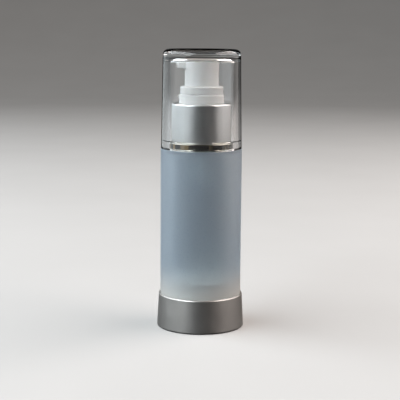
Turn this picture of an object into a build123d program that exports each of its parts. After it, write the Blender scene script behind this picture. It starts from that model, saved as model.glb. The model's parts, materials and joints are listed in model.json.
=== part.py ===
"""Airless foundation bottle: a frosted tube, a spring pump with a side-spout head, a clear overcap.

The axis of the bottle is +Z and the origin is the centre of the face it stands on. The spout
points along -X. All lengths are millimetres. The pieces come in the order in which a bench
would hold them: the base, the tube, the closure, the pump engine, the head and the overcap.
"""

import os

from build123d import *

os.makedirs("parts", exist_ok=True)

# ---------------------------------------------------------------- driving dimensions

fit_gap = 0.05  # radial gap of pieces that are pressed or snapped together

# the frosted tube and its threaded neck
tube_radius = 16.5
tube_wall = 1.8
tube_bottom = 2.35
shoulder_z = 73.4
shoulder_thickness = 1.6
neck_radius = 8.9
neck_wall = 1.4
neck_top = 86.0

# the screw thread, a right-hand one
thread_pitch = 3.0
thread_turns = 1.5
thread_height = 0.95
thread_root_width = 1.7
thread_crest_width = 0.8
thread_embed = 0.2  # how far a thread runs into the wall that carries it
neck_thread_z = 77.6  # middle of the neck thread where it starts

# the weighted base
base_foot_radius = 17.85
base_top_radius = 17.15
base_shell_wall = 0.5
base_shell_top = 13.8
base_lip_drop = 0.9  # height of the rolled top lip
base_edge_radius = 0.6
base_window_radius = 14.2  # opening of the shell's floor
plug_thickness = 1.75
plug_spigot_height = 5.0
plug_spigot_wall = 1.4
plug_rib_count = 6
vent_radius = 0.8

# the follower piston that rises under the product
follower_bottom = 7.5
follower_top = 19.6
follower_wall = 1.1
follower_well_radius = 6.6
follower_well_floor = 8.7
follower_lip_height = 1.6

# the closure, its metal sleeve and its mirror ring
collar_radius = 12.05
collar_wall = 0.45
collar_bottom = 76.1
collar_top = 91.75
collar_window_radius = 9.15
collar_edge_radius = 0.8
ring_radius = 12.96
ring_bottom = 73.6
spigot_radius = 10.95  # the closure's lower end, which carries the mirror ring
closure_bore = 10.1
hub_radius = 9.04
hub_bore = 8.0
hub_top = 95.5
hub_bevel_width = 0.32
hub_bevel_height = 0.75
gasket_thickness = 0.75
flange_thickness = 1.2

# the pump engine
stroke = 5.0
barrel_radius = 5.6
barrel_bore = 4.4
barrel_bottom = 60.6
spring_ledge = 67.0
ball_chamber_radius = 2.2
ball_chamber_outside = 3.6
inlet_radius = 1.0
seat_apex = 62.8  # where the inlet hole opens into the 45 degree ball seat
ball_radius = 1.6
ball_gap = 0.02
stem_radius = 2.5
stem_bore = 1.4
stem_top = 103.3
stem_flange_radius = 3.6
stem_tail_radius = 2.0
stem_tail_bottom = 80.95
spring_wire = 0.6
spring_mean_radius = 3.1
spring_turns = 6

# the visible ring that guides the head
guide_ring_radius = 8.7
guide_ring_top = 98.6
guide_ring_edge = 0.7
guide_bore = 7.1
guide_floor = 90.2

# the head that is pressed
head_radius = 6.88
head_wall = 0.98
head_bottom = 96.4
head_top = 109.4
head_edge = 0.45
dish_radius = 5.4
dish_depth = 0.3
spout_reach = 10.1
spout_root_z = 105.45
spout_tip_z = 105.85
spout_root_width = 6.4
spout_tip_width = 4.8
channel_radius = 0.9
channel_z = 107.4
channel_wall = 0.7
boss_radius = 3.5
boss_bottom = 99.0
socket_top = 103.6

# the clear overcap
cap_bottom = 73.5
cap_top = 113.4
cap_foot_radius = 16.4
cap_head_radius = 15.7
cap_edge_radius = 2.4
cap_ceiling = 110.2
cap_grip_radius = ring_radius + fit_gap
cap_grip_top = 76.5
cap_lead_in = 0.25
cap_bore_radius = 13.15
cap_bore_top_radius = 12.95
cap_ceiling_radius = 2.1

# ---------------------------------------------------------------- worked-out dimensions

tube_bore = tube_radius - tube_wall
neck_bore = neck_radius - neck_wall
flange_bottom = neck_top + gasket_thickness + fit_gap
flange_top = flange_bottom + flange_thickness
flange_radius = closure_bore - 0.5
barrel_top = flange_top + 0.95
ball_z = seat_apex + (ball_radius + ball_gap) * 2**0.5 - inlet_radius
spring_bottom = spring_ledge + 0.6
spring_top = 77.4


def rim(builder, radius, z):
    """The circular edges of the piece being built that have this radius and lie at this height."""
    return [
        edge
        for edge in builder.edges().filter_by(GeomType.CIRCLE)
        if abs(edge.radius - radius) < 0.01 and abs(edge.arc_center.Z - z) < 0.01
    ]


# ---------------------------------------------------------------- base

with BuildPart() as base_shell:
    # a drawn cup: open floor, conical wall, and a lip that rolls in to the tube
    with BuildSketch(Plane.XZ):
        with BuildLine():
            lip_inside = tube_radius + fit_gap
            Polyline(
                (base_window_radius, base_shell_wall),
                (base_window_radius, 0),
                (base_foot_radius, 0),
                (base_top_radius, base_shell_top - base_lip_drop),
            )
            EllipticalCenterArc(
                (lip_inside, base_shell_top - base_lip_drop),
                base_top_radius - lip_inside,
                base_lip_drop,
                start_angle=0,
                arc_size=90,
            )
            Polyline(
                (lip_inside, base_shell_top),
                (lip_inside, base_shell_top - base_lip_drop - base_shell_wall),
                (base_foot_radius - base_shell_wall, base_shell_wall),
                (base_window_radius, base_shell_wall),
            )
        make_face()
    revolve(axis=Axis.Z)
    fillet(rim(base_shell, base_foot_radius, 0), base_edge_radius)
base_shell.part.label = "base_shell"

with BuildPart() as base_plug:
    # the moulded floor inside the shell, with the spigot that the tube snaps over
    plug_bottom = base_shell_wall + fit_gap
    plug_top = plug_bottom + plug_thickness - fit_gap
    with BuildSketch(Plane.XY.offset(plug_bottom)):
        Circle(base_foot_radius - base_shell_wall - 0.25)
    extrude(amount=plug_top - plug_bottom)
    with BuildSketch(Plane.XY.offset(plug_top)):
        Circle(tube_bore - fit_gap)
        Circle(tube_bore - fit_gap - plug_spigot_wall, mode=Mode.SUBTRACT)
    extrude(amount=plug_spigot_height)
    # radial ribs on which the follower rests
    rib_inner, rib_outer = 3.0, tube_bore - plug_spigot_wall
    with BuildSketch(Plane.XY.offset(plug_top)):
        with PolarLocations((rib_inner + rib_outer) / 2, plug_rib_count):
            Rectangle(rib_outer - rib_inner, 1.0)
    extrude(amount=plug_spigot_height)
    # stepped recess in the underside and the vent in its middle
    with BuildSketch(Plane.XY.offset(plug_bottom)):
        Circle(11.0)
        Circle(6.0, mode=Mode.SUBTRACT)
    extrude(amount=0.5, mode=Mode.SUBTRACT)
    with Locations((0, 0, plug_top)):
        Hole(vent_radius)
base_plug.part.label = "base_plug"

# ---------------------------------------------------------------- tube with its neck


def thread(start_z, root_radius, height, direction):
    """One right-hand thread: a trapezium that follows a helix, standing out of root_radius by
    height along direction (+1 outwards, -1 inwards), and running into the wall behind it."""
    crest_radius = root_radius + direction * height
    buried_radius = root_radius - direction * thread_embed
    with BuildPart(mode=Mode.PRIVATE) as made:
        with BuildLine() as path:
            Helix(thread_pitch, thread_pitch * thread_turns, root_radius, center=(0, 0, start_z))
        with BuildSketch(Plane.XZ.shift_origin((0, 0, start_z))):
            with BuildLine():
                Polyline(
                    (buried_radius, -thread_root_width / 2),
                    (root_radius, -thread_root_width / 2),
                    (crest_radius, -thread_crest_width / 2),
                    (crest_radius, thread_crest_width / 2),
                    (root_radius, thread_root_width / 2),
                    (buried_radius, thread_root_width / 2),
                    close=True,
                )
            make_face()
        sweep(path=path.line, is_frenet=True)
    return made.part


neck_thread = thread(neck_thread_z, neck_radius, thread_height, 1)
closure_thread = thread(neck_thread_z - thread_pitch / 2, closure_bore, thread_height, -1)

with BuildPart() as bottle:
    with BuildSketch(Plane.XZ):
        with BuildLine():
            Polyline(
                (tube_bore, tube_bottom),
                (tube_radius, tube_bottom),
                (tube_radius, shoulder_z),
                (neck_radius, shoulder_z),
                (neck_radius, neck_top),
                (neck_bore, neck_top),
                (neck_bore, shoulder_z - shoulder_thickness),
                (tube_bore, shoulder_z - shoulder_thickness),
                close=True,
            )
        make_face()
    revolve(axis=Axis.Z)
    fillet(rim(bottle, tube_radius, shoulder_z), 0.3)
    fillet(rim(bottle, tube_bore, shoulder_z - shoulder_thickness), 0.8)
    add(neck_thread)
bottle.part.label = "bottle"

# ---------------------------------------------------------------- follower piston

with BuildPart() as follower_piston:
    # a cup in the middle, a ring-shaped web and an outer wall with a wiping lip at each end
    wiper = tube_bore - fit_gap
    waist = wiper - 0.45
    web_bottom = follower_top - follower_wall
    with BuildSketch(Plane.XZ):
        with BuildLine():
            Polyline(
                (0, follower_bottom),
                (follower_well_radius + follower_wall, follower_bottom),
                (follower_well_radius + follower_wall, web_bottom),
                (waist - follower_wall, web_bottom),
                (waist - follower_wall, follower_bottom),
                (wiper, follower_bottom),
                (wiper, follower_bottom + follower_lip_height / 2),
                (waist, follower_bottom + follower_lip_height),
                (waist, follower_top - follower_lip_height),
                (wiper, follower_top - follower_lip_height / 2),
                (wiper, follower_top),
                (follower_well_radius, follower_top),
                (follower_well_radius, follower_well_floor),
                (0, follower_well_floor),
                close=True,
            )
        make_face()
    revolve(axis=Axis.Z)
    fillet(rim(follower_piston, follower_well_radius, follower_top), 0.5)
    fillet(rim(follower_piston, follower_well_radius, follower_well_floor), 0.5)
follower_piston.part.label = "follower_piston"

# ---------------------------------------------------------------- closure

with BuildPart() as closure:
    closure_radius = collar_radius - collar_wall - fit_gap
    closure_top = collar_top - collar_wall - fit_gap
    with BuildSketch(Plane.XZ):
        with BuildLine():
            Polyline(
                (closure_bore, ring_bottom + 0.1),
                (spigot_radius, ring_bottom + 0.1),
                (spigot_radius, collar_bottom),
                (closure_radius, collar_bottom),
                (closure_radius, closure_top - 0.5),
                (closure_radius - 0.5, closure_top),
                (hub_radius, closure_top),
                (hub_radius, hub_top - hub_bevel_height),
                (hub_radius - hub_bevel_width, hub_top),
                (hub_bore, hub_top),
                (hub_bore, flange_top + fit_gap),
                (flange_radius + 0.1, flange_top + fit_gap),
                (flange_radius + 0.1, neck_top + fit_gap),
                (closure_bore, neck_top + fit_gap),
                close=True,
            )
        make_face()
    revolve(axis=Axis.Z)
    add(closure_thread)
    # the lug under the spout: a small wedge that marks where the spout parks
    lug_top, lug_reach, lug_width = 95.0, 0.75, 1.7
    with BuildSketch(Plane.XZ.offset(-lug_width / 2)):
        with BuildLine():
            Polyline(
                (-hub_radius + 0.4, lug_top),
                (-hub_radius - lug_reach, lug_top - 0.15),
                (-hub_radius - lug_reach, lug_top - 0.75),
                (-hub_radius + 0.4, lug_top - 1.4),
                close=True,
            )
        make_face()
    extrude(amount=lug_width)
closure.part.label = "closure"

with BuildPart() as collar_shell:
    with BuildSketch(Plane.XZ):
        with BuildLine():
            Polyline(
                (collar_radius - collar_wall, collar_bottom),
                (collar_radius, collar_bottom),
                (collar_radius, collar_top),
                (collar_window_radius, collar_top),
                (collar_window_radius, collar_top - collar_wall),
                (collar_radius - collar_wall, collar_top - collar_wall),
                close=True,
            )
        make_face()
    revolve(axis=Axis.Z)
    fillet(rim(collar_shell, collar_radius, collar_top), collar_edge_radius)
    inner_radius = collar_radius - collar_wall
    fillet(rim(collar_shell, inner_radius, collar_top - collar_wall), collar_edge_radius - collar_wall)
collar_shell.part.label = "collar_shell"

with BuildPart() as shoulder_ring:
    with BuildSketch(Plane.XY.offset(ring_bottom)):
        Circle(ring_radius)
        Circle(spigot_radius + fit_gap, mode=Mode.SUBTRACT)
    extrude(amount=collar_bottom - fit_gap - ring_bottom)
    fillet(rim(shoulder_ring, ring_radius, ring_bottom), 0.12)
    fillet(rim(shoulder_ring, ring_radius, collar_bottom - fit_gap), 0.12)
shoulder_ring.part.label = "shoulder_ring"

with BuildPart() as neck_gasket:
    with BuildSketch(Plane.XY.offset(neck_top + fit_gap / 2)):
        Circle(flange_radius)
        Circle(neck_bore + 0.1, mode=Mode.SUBTRACT)
    extrude(amount=gasket_thickness)
neck_gasket.part.label = "neck_gasket"

# ---------------------------------------------------------------- pump engine

with BuildPart() as pump_housing:
    with BuildSketch(Plane.XZ):
        with BuildLine():
            seat_top = seat_apex + ball_chamber_radius - inlet_radius
            cone_top = spring_ledge - 0.2
            Polyline(
                (barrel_bore, barrel_top),
                (hub_bore - 0.15, barrel_top),
                (hub_bore - 0.15, flange_top),
                (flange_radius, flange_top),
                (flange_radius, flange_bottom),
                (barrel_radius, flange_bottom),
                (barrel_radius, cone_top),
                (ball_chamber_outside, cone_top - 2.0),
                (ball_chamber_outside, barrel_bottom),
                (inlet_radius, barrel_bottom),
                (inlet_radius, seat_apex),
                (ball_chamber_radius, seat_top),
                (ball_chamber_radius, spring_ledge),
                (barrel_bore, spring_ledge),
                close=True,
            )
        make_face()
    revolve(axis=Axis.Z)
pump_housing.part.label = "pump_housing"

with BuildPart() as ball_retainer:
    # the spring's lower seat, with a slotted skirt that keeps the ball near its hole
    skirt_bottom = spring_ledge - 0.4
    with BuildSketch(Plane.XY.offset(spring_ledge + 0.02)):
        Circle(barrel_bore - fit_gap)
        Circle(inlet_radius + 0.2, mode=Mode.SUBTRACT)
    extrude(amount=0.58 - 0.02)
    with BuildSketch(Plane.XY.offset(skirt_bottom)):
        Circle(ball_chamber_radius - 0.1)
        Circle(inlet_radius + 0.2, mode=Mode.SUBTRACT)
    extrude(amount=spring_ledge + 0.02 - skirt_bottom)
    with BuildSketch(Plane.XY.offset(skirt_bottom)):
        with PolarLocations(0, 4):
            Rectangle(2 * ball_chamber_radius, 0.7)
    extrude(amount=0.7, mode=Mode.SUBTRACT)
ball_retainer.part.label = "ball_retainer"

with BuildPart() as inlet_ball:
    with Locations((0, 0, ball_z)):
        Sphere(ball_radius)
inlet_ball.part.label = "inlet_ball"

with BuildPart() as guide_ring:
    # the housing's cap: the visible ring, a well for the head's skirt, and the stem's guide
    guide_hole = stem_radius + 0.1
    with BuildSketch(Plane.XZ):
        with BuildLine():
            Polyline(
                (guide_hole, neck_top),
                (barrel_bore - fit_gap, neck_top),
                (barrel_bore - fit_gap, barrel_top + fit_gap),
                (hub_bore - 0.1, barrel_top + fit_gap),
                (hub_bore - 0.1, hub_top + fit_gap),
                (guide_ring_radius, hub_top + fit_gap),
                (guide_ring_radius, guide_ring_top),
                (guide_bore, guide_ring_top),
                (guide_bore, guide_floor),
                (stem_flange_radius, guide_floor),
                (stem_flange_radius, guide_floor + 0.8),
                (guide_hole, guide_floor + 0.8),
                close=True,
            )
        make_face()
    revolve(axis=Axis.Z)
    fillet(rim(guide_ring, guide_ring_radius, guide_ring_top), guide_ring_edge)
    fillet(rim(guide_ring, guide_bore, guide_ring_top), 0.25)
guide_ring.part.label = "guide_ring"

with BuildPart() as stem:
    flange_z = 84.6
    with BuildSketch(Plane.XZ):
        with BuildLine():
            Polyline(
                (stem_bore, stem_tail_bottom),
                (stem_tail_radius, stem_tail_bottom),
                (stem_tail_radius, flange_z),
                (stem_flange_radius, flange_z),
                (stem_flange_radius, neck_top - fit_gap),
                (stem_radius, neck_top - fit_gap),
                (stem_radius, stem_top),
                (stem_bore, stem_top),
                close=True,
            )
        make_face()
    revolve(axis=Axis.Z)
    # cross ports and the grooves that lead to them
    with BuildSketch(Plane.XY.offset(stem_tail_bottom)):
        with PolarLocations(stem_tail_radius, 4):
            Rectangle(0.6, 0.7)
    extrude(amount=1.2, mode=Mode.SUBTRACT)
    with BuildSketch(Plane.YZ):
        with Locations((0, stem_tail_bottom + 1.2)):
            Circle(0.45)
    extrude(amount=stem_radius + 1, both=True, mode=Mode.SUBTRACT)
stem.part.label = "stem"

with BuildPart() as piston_seat:
    # the lower rod: spring collar, sealing cone, and a flatted spigot plugged into the stem
    collar_top_z = spring_top + 0.8
    cone_top_z = collar_top_z + 1.3
    spigot = stem_bore - 0.05
    with BuildSketch(Plane.XZ):
        with BuildLine():
            Polyline(
                (0, 74.2),
                (1.3, 74.2),
                (1.5, 74.6),
                (1.5, spring_top),
                (stem_flange_radius, spring_top),
                (stem_flange_radius, collar_top_z),
                (3.1, collar_top_z),
                (stem_tail_radius, cone_top_z),
                (stem_tail_radius, stem_tail_bottom - 0.02),
                (spigot, stem_tail_bottom - 0.02),
                (spigot, 85.5),
                (0, 85.5),
                close=True,
            )
        make_face()
    revolve(axis=Axis.Z)
    with BuildSketch(Plane.XY.offset(stem_tail_bottom + 0.4)):
        with Locations((spigot, 0), (-spigot, 0)):
            Rectangle(0.8, 3)
    extrude(amount=5, mode=Mode.SUBTRACT)
    with BuildSketch(Plane.XY.offset(cone_top_z - 0.3)):
        with PolarLocations(stem_tail_radius, 4):
            Rectangle(0.6, 0.7)
    extrude(amount=stem_tail_bottom - cone_top_z + 0.3, mode=Mode.SUBTRACT)
piston_seat.part.label = "piston_seat"

with BuildPart() as pump_piston:
    # an H in section: a sleeve on the stem's tail and two lips on the barrel's wall
    sleeve_bore = stem_tail_radius + fit_gap
    lip = barrel_bore - 0.03
    with BuildSketch(Plane.XZ):
        with BuildLine():
            Polyline(
                (sleeve_bore, 79.65),
                (2.9, 79.65),
                (2.9, 81.5),
                (3.8, 81.5),
                (3.8, 79.9),
                (lip, 79.9),
                (lip, 80.7),
                (lip - 0.2, 81.2),
                (lip - 0.2, 83.0),
                (lip, 83.5),
                (lip, 84.3),
                (3.8, 84.3),
                (3.8, 82.6),
                (2.9, 82.6),
                (2.9, 84.0),
                (sleeve_bore, 84.0),
                close=True,
            )
        make_face()
    revolve(axis=Axis.Z)
pump_piston.part.label = "pump_piston"

with BuildPart() as pump_spring:
    wire_inset = spring_wire / 2 + 0.04
    spring_height = spring_top - spring_bottom - 2 * wire_inset
    with BuildLine() as coil:
        Helix(
            spring_height / spring_turns,
            spring_height,
            spring_mean_radius,
            center=(0, 0, spring_bottom + wire_inset),
        )
    with BuildSketch(Plane(origin=coil.line @ 0, z_dir=coil.line % 0)):
        Circle(spring_wire / 2)
    sweep(path=coil.line, is_frenet=True)
pump_spring.part.label = "pump_spring"

# ---------------------------------------------------------------- head

with BuildPart() as actuator:
    with BuildSketch(Plane.XY.offset(head_bottom)):
        Circle(head_radius)
    extrude(amount=head_top - head_bottom)
    # the spout: a block with a rising underside, narrowed towards its tip
    with BuildSketch(Plane.XZ):
        with BuildLine():
            Polyline(
                (0, head_top),
                (-spout_reach, head_top),
                (-spout_reach, spout_tip_z),
                (-head_radius + 0.3, spout_root_z),
                (0, spout_root_z),
                close=True,
            )
        make_face()
    extrude(amount=spout_root_width / 2, both=True)
    with BuildSketch(Plane.XY.offset(head_bottom)):
        for side in (1, -1):
            with BuildLine():
                Polyline(
                    (-head_radius + 0.8, side * spout_root_width / 2),
                    (-spout_reach, side * spout_tip_width / 2),
                    (-spout_reach - 1, side * spout_tip_width / 2),
                    (-spout_reach - 1, side * spout_root_width),
                    (-head_radius + 0.8, side * spout_root_width),
                    close=True,
                )
            make_face()
    extrude(amount=head_top - head_bottom + 1, mode=Mode.SUBTRACT)
    tip_corners = actuator.edges().filter_by(Axis.Z).group_by(Axis.X)[0]
    fillet(tip_corners, 1.1)
    top_face = actuator.faces().sort_by(Axis.Z)[-1]
    fillet(top_face.outer_wire().edges(), head_edge)
    # the finger dish
    dish_ball = (dish_radius**2 + dish_depth**2) / (2 * dish_depth)
    with Locations((0, 0, head_top - dish_depth + dish_ball)):
        Sphere(dish_ball, mode=Mode.SUBTRACT)
    # the hollow inside, then the boss and the channel tube that cross it
    with BuildSketch(Plane.XY.offset(head_bottom)):
        Circle(head_radius - head_wall)
    extrude(amount=head_top - 1.4 - head_bottom, mode=Mode.SUBTRACT)
    with BuildSketch(Plane.XY.offset(boss_bottom)):
        Circle(boss_radius)
    extrude(amount=head_top - 1.2 - boss_bottom)
    with BuildSketch(Plane.YZ.offset(-head_radius + 0.2)):
        with Locations((0, channel_z)):
            Circle(channel_radius + channel_wall)
    extrude(amount=head_radius - 0.2)
    # the stem's socket, the riser and the channel out of the spout
    with BuildSketch(Plane.XY.offset(boss_bottom)):
        Circle(stem_radius + fit_gap)
    extrude(amount=socket_top - boss_bottom, mode=Mode.SUBTRACT)
    with BuildSketch(Plane.XY.offset(socket_top)):
        Circle(stem_bore)
    extrude(amount=channel_z - socket_top, mode=Mode.SUBTRACT)
    with BuildSketch(Plane.YZ.offset(-spout_reach - 1)):
        with Locations((0, channel_z)):
            Circle(channel_radius)
    extrude(amount=spout_reach + 1, mode=Mode.SUBTRACT)
actuator.part.label = "actuator"

# ---------------------------------------------------------------- overcap

with BuildPart() as overcap:
    with BuildSketch(Plane.XZ):
        with BuildLine():
            Polyline(
                (0, cap_ceiling),
                (0, cap_top),
                (cap_head_radius, cap_top),
                (cap_foot_radius, cap_bottom),
                (cap_grip_radius + cap_lead_in, cap_bottom),
                (cap_grip_radius, cap_bottom + cap_lead_in),
                (cap_grip_radius, cap_grip_top),
                (cap_bore_radius, cap_grip_top + 0.4),
                (cap_bore_top_radius, cap_ceiling),
                close=True,
            )
        make_face()
    revolve(axis=Axis.Z)
    fillet(rim(overcap, cap_bore_top_radius, cap_ceiling), cap_ceiling_radius)
    fillet(rim(overcap, cap_head_radius, cap_top), cap_edge_radius)
overcap.part.label = "overcap"

# ---------------------------------------------------------------- files

pieces = [
    base_shell,
    base_plug,
    bottle,
    follower_piston,
    closure,
    collar_shell,
    shoulder_ring,
    neck_gasket,
    pump_housing,
    ball_retainer,
    inlet_ball,
    guide_ring,
    stem,
    piston_seat,
    pump_piston,
    pump_spring,
    actuator,
    overcap,
]
for piece in pieces:
    export_step(piece.part, f"parts/{piece.part.label}.step")
    print(piece.part.label, round(piece.part.volume, 1))
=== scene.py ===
# %% [markdown]
# # An airless foundation bottle
#
# The bottle is a frosted tube in a satin metal base. Its pump is screwed on under a metal sleeve, and
# a thick clear cap covers the white press head. Nearly every piece is turned round one axis, so most
# of this lesson is about one idea: draw half of a piece's cross-section, and carry it round the axis.
#
# The engineering model is loaded first. It fixes where each piece is, and what moves with what. Here
# the visible pieces are made again as finer surfaces, and every piece gets its material.

# %% Load the engineering model
import json
import math
import bpy
import numpy as np
from mathutils import Matrix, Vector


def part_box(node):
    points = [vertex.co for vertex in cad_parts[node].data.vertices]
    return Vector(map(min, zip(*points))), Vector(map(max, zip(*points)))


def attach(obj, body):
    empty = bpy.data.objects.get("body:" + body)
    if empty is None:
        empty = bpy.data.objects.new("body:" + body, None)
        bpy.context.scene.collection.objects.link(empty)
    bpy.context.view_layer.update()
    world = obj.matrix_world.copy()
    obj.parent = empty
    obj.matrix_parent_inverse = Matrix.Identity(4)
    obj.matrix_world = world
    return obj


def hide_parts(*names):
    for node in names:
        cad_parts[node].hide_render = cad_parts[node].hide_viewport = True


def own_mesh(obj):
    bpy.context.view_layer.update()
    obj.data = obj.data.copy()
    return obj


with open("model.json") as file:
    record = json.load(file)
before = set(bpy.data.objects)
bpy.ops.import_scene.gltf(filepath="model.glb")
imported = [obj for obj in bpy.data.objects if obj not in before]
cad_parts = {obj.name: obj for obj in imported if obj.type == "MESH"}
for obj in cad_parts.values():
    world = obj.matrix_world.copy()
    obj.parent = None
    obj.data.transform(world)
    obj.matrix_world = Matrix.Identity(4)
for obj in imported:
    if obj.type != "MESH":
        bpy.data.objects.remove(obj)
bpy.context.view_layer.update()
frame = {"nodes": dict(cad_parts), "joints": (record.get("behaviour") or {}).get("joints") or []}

# %% [markdown]
# ## Sizes
#
# A maker's drawing gives sizes in millimetres, and Blender works in metres. The sizes that the model
# already holds are read from its boxes, so that nothing has to be fitted by eye, and only what a box
# can't tell, such as a wall's thickness, is a number here.

# %% Sizes read from the model, in millimetres
MM = 0.001


def top(node):
    """The height of a node's highest point, in millimetres."""
    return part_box(node)[1].z / MM


def bottom(node):
    """The height of a node's lowest point, in millimetres."""
    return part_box(node)[0].z / MM


def reach(node):
    """How far a node comes out from the axis along +Y, in millimetres."""
    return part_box(node)[1].y / MM


gap = 0.05  # between pieces that are pressed together
tube_radius = reach("bottle")
tube_bore = tube_radius - 1.8
shoulder = bottom("shoulder_ring") - 0.2
neck_radius = 8.9
neck_bore = 7.5
thread_pitch = 3.0
thread_turns = 1.5
thread_height = 0.95
neck_thread_start = 77.6
ring_radius = reach("shoulder_ring")
collar_radius = reach("collar_shell")
head_radius = reach("actuator")
print("tube", round(tube_radius, 2), "ring", round(ring_radius, 2), "collar", round(collar_radius, 2))

# %% [markdown]
# ## Cross-sections
#
# A moulded or turned piece has no truly sharp corner: every edge is a small arc, and it is the arc
# that catches the light. One could add a Bevel modifier to each piece, but the arcs are part of the
# drawing, so it is simpler to draw them. The helper below takes corners as (radius, height, rounding)
# and works out all the arcs at once. Beside each arc it adds a guard point on each straight, because
# smooth shading would otherwise bend the light across the whole straight.


# %% A cross-section with rounded corners
def section(corners, closed=True, steps=6, guard=0.05):
    """The outline of half a cross-section, as an array of (radius, height) rows in metres.

    Each corner is (radius, height, rounding) in millimetres. An arc of that rounding touches both
    sides of the corner: its ends lie rounding / tan(half the corner's angle) from the corner, and its
    centre lies on the bisector, rounding / sin(half the angle) away. An open outline starts and ends
    on the axis. The solid is on the left of the direction of travel."""
    corners = np.array(corners, float)
    points, rounding = corners[:, :2], corners[:, 2]
    turning = slice(None) if closed else slice(1, -1)
    before = (np.roll(points, 1, 0) - points)[turning]
    after = (np.roll(points, -1, 0) - points)[turning]
    points, rounding = points[turning], rounding[turning, None]
    run_before = np.linalg.norm(before, axis=1, keepdims=True)
    run_after = np.linalg.norm(after, axis=1, keepdims=True)
    before, after = before / run_before, after / run_after
    half = 0.5 * np.arccos(np.clip((before * after).sum(1, keepdims=True), -1, 1))
    setback = rounding / np.tan(half)
    bisector = before + after
    bisector /= np.linalg.norm(bisector, axis=1, keepdims=True)
    centre = points + bisector * rounding / np.sin(half)
    start, end = points + before * setback - centre, points + after * setback - centre
    sweep = (math.pi - 2 * half)[:, None]
    t = np.linspace(0, 1, steps + 1)[None, :, None]
    arc = start[:, None] * np.sin((1 - t) * sweep) + end[:, None] * np.sin(t * sweep)
    arc = centre[:, None] + arc / np.sin(sweep)
    first = arc[:, :1] + (before * np.minimum(guard, run_before / 4))[:, None]
    last = arc[:, -1:] + (after * np.minimum(guard, run_after / 4))[:, None]
    outline = np.concatenate([first, arc, last], 1).reshape(-1, 2)
    if not closed:
        outline = np.concatenate([corners[:1, :2], outline, corners[-1:, :2]])
    return outline * MM


# %% More points where the surface will be changed
def refine(outline, longest, low, high):
    """The same closed outline with more points, so that between the heights low and high
    (in millimetres) no two neighbours are more than longest apart along the outline."""
    ends = np.concatenate([outline, outline[:1]])
    along = np.concatenate([[0], np.cumsum(np.linalg.norm(np.diff(ends, axis=0), axis=1))])
    even = np.arange(0, along[-1], longest * MM)
    height = np.interp(even, along, ends[:, 1])
    even = even[(height > low * MM) & (height < high * MM)]
    places = np.unique(np.round(np.concatenate([along[:-1], even]), 9))
    return np.stack([np.interp(places, along, ends[:, k]) for k in (0, 1)], 1)


plain_ring = section([(10, 0, 0.5), (12, 0, 0.5), (12, 8, 0.5), (10, 8, 0.5)])
print("a ring's section has", len(plain_ring), "points for its four rounded corners")

# %% [markdown]
# ## Carrying a section round the axis
#
# Blender has a Screw modifier and a Spin tool for this, but neither lets the radius change on the way
# round, and a screw thread, a lug and a spout all need that. So a turned piece is a grid here: one
# parameter runs along the section and the other runs round the axis. A piece that reaches the axis
# closes there in one vertex with a fan of triangles, so that no hole is left.


# %% Arrays become an object
def add_object(name, vertices, faces, material=None, smooth=True):
    """Puts arrays of vertices and faces into a new object at the origin, shaded smooth or flat."""
    mesh = bpy.data.meshes.new(name)
    mesh.from_pydata(vertices, [], faces)
    mesh.validate()
    if smooth:
        mesh.shade_smooth()
    made = bpy.data.objects.new(name, mesh)
    bpy.context.scene.collection.objects.link(made)
    if material is not None:
        mesh.materials.append(material)
    return made


# %% A check on every closed piece
def enclosed_volume(mesh):
    """The volume inside a closed mesh in cubic millimetres: the sum over its triangles of the signed
    volume that each spans with the origin. It is positive when the faces point outwards."""
    mesh.calc_loop_triangles()
    corners = np.empty(len(mesh.loop_triangles) * 3, np.int32)
    mesh.loop_triangles.foreach_get("vertices", corners)
    places = np.empty(len(mesh.vertices) * 3, np.float32)
    mesh.vertices.foreach_get("co", places)
    a, b, c = places.reshape(-1, 3).astype(float)[corners.reshape(-1, 3)].transpose(1, 0, 2)
    return float((a * np.cross(b, c)).sum() / 6) / MM**3


# %% Faces between the rows of a grid
def between(row, next_row):
    """The quads between arrays of vertex numbers: each joins two neighbours in a row with the two
    beside them in the next row, and the last column is joined to the first."""
    return np.stack([row, np.roll(row, -1, 1), np.roll(next_row, -1, 1), next_row], -1)


def capped_tube(name, grid):
    """A tube through a grid of points, in metres: one row for each station along it, and one column
    for each point round it. A flat face closes each end."""
    numbers = np.arange(grid[..., 0].size).reshape(grid.shape[:2])
    faces = between(numbers[:-1], numbers[1:]).reshape(-1, 4).tolist()
    faces += [numbers[0][::-1].tolist(), numbers[-1].tolist()]
    made = add_object(name, grid.reshape(-1, 3), faces)
    if enclosed_volume(made.data) < 0:
        made.data.flip_normals()
    print(f"{name}: {len(faces)} faces, {enclosed_volume(made.data):.1f} cubic mm")
    return made


# %% A grid carried round the axis
def turned(name, radius, height, angles, closed=True):
    """A surface of points (radius cos angle, radius sin angle, height), where radius and height are
    arrays of one row for each section point and one column for each angle. A closed section joins its
    last row to its first. An open one starts and ends on the axis, where a row becomes one vertex."""
    rows, columns = np.broadcast_shapes(radius.shape, height.shape, (1, len(angles)))
    radius, height = (np.broadcast_to(values, (rows, columns)) for values in (radius, height))
    grid = np.stack([radius * np.cos(angles), radius * np.sin(angles), height], -1)
    if not closed:
        poles = grid[[0, -1], 0]
        grid = grid[1:-1]
    count = len(grid)
    here = np.arange(count * columns).reshape(count, columns)
    quads = between(here, np.roll(here, -1, 0))
    faces = (quads if closed else quads[:-1]).reshape(-1, 4).tolist()
    vertices = grid.reshape(-1, 3)
    if not closed:
        vertices = np.concatenate([vertices, poles])
        low, high = count * columns, count * columns + 1
        ring = here[0]
        faces += np.stack([np.full_like(ring, low), np.roll(ring, -1), ring], 1).tolist()
        ring = here[-1]
        faces += np.stack([ring, np.roll(ring, -1), np.full_like(ring, high)], 1).tolist()
    made = add_object(name, vertices, faces)
    print(f"{name}: {len(faces)} faces, {enclosed_volume(made.data):.0f} cubic mm")
    return made


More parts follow.
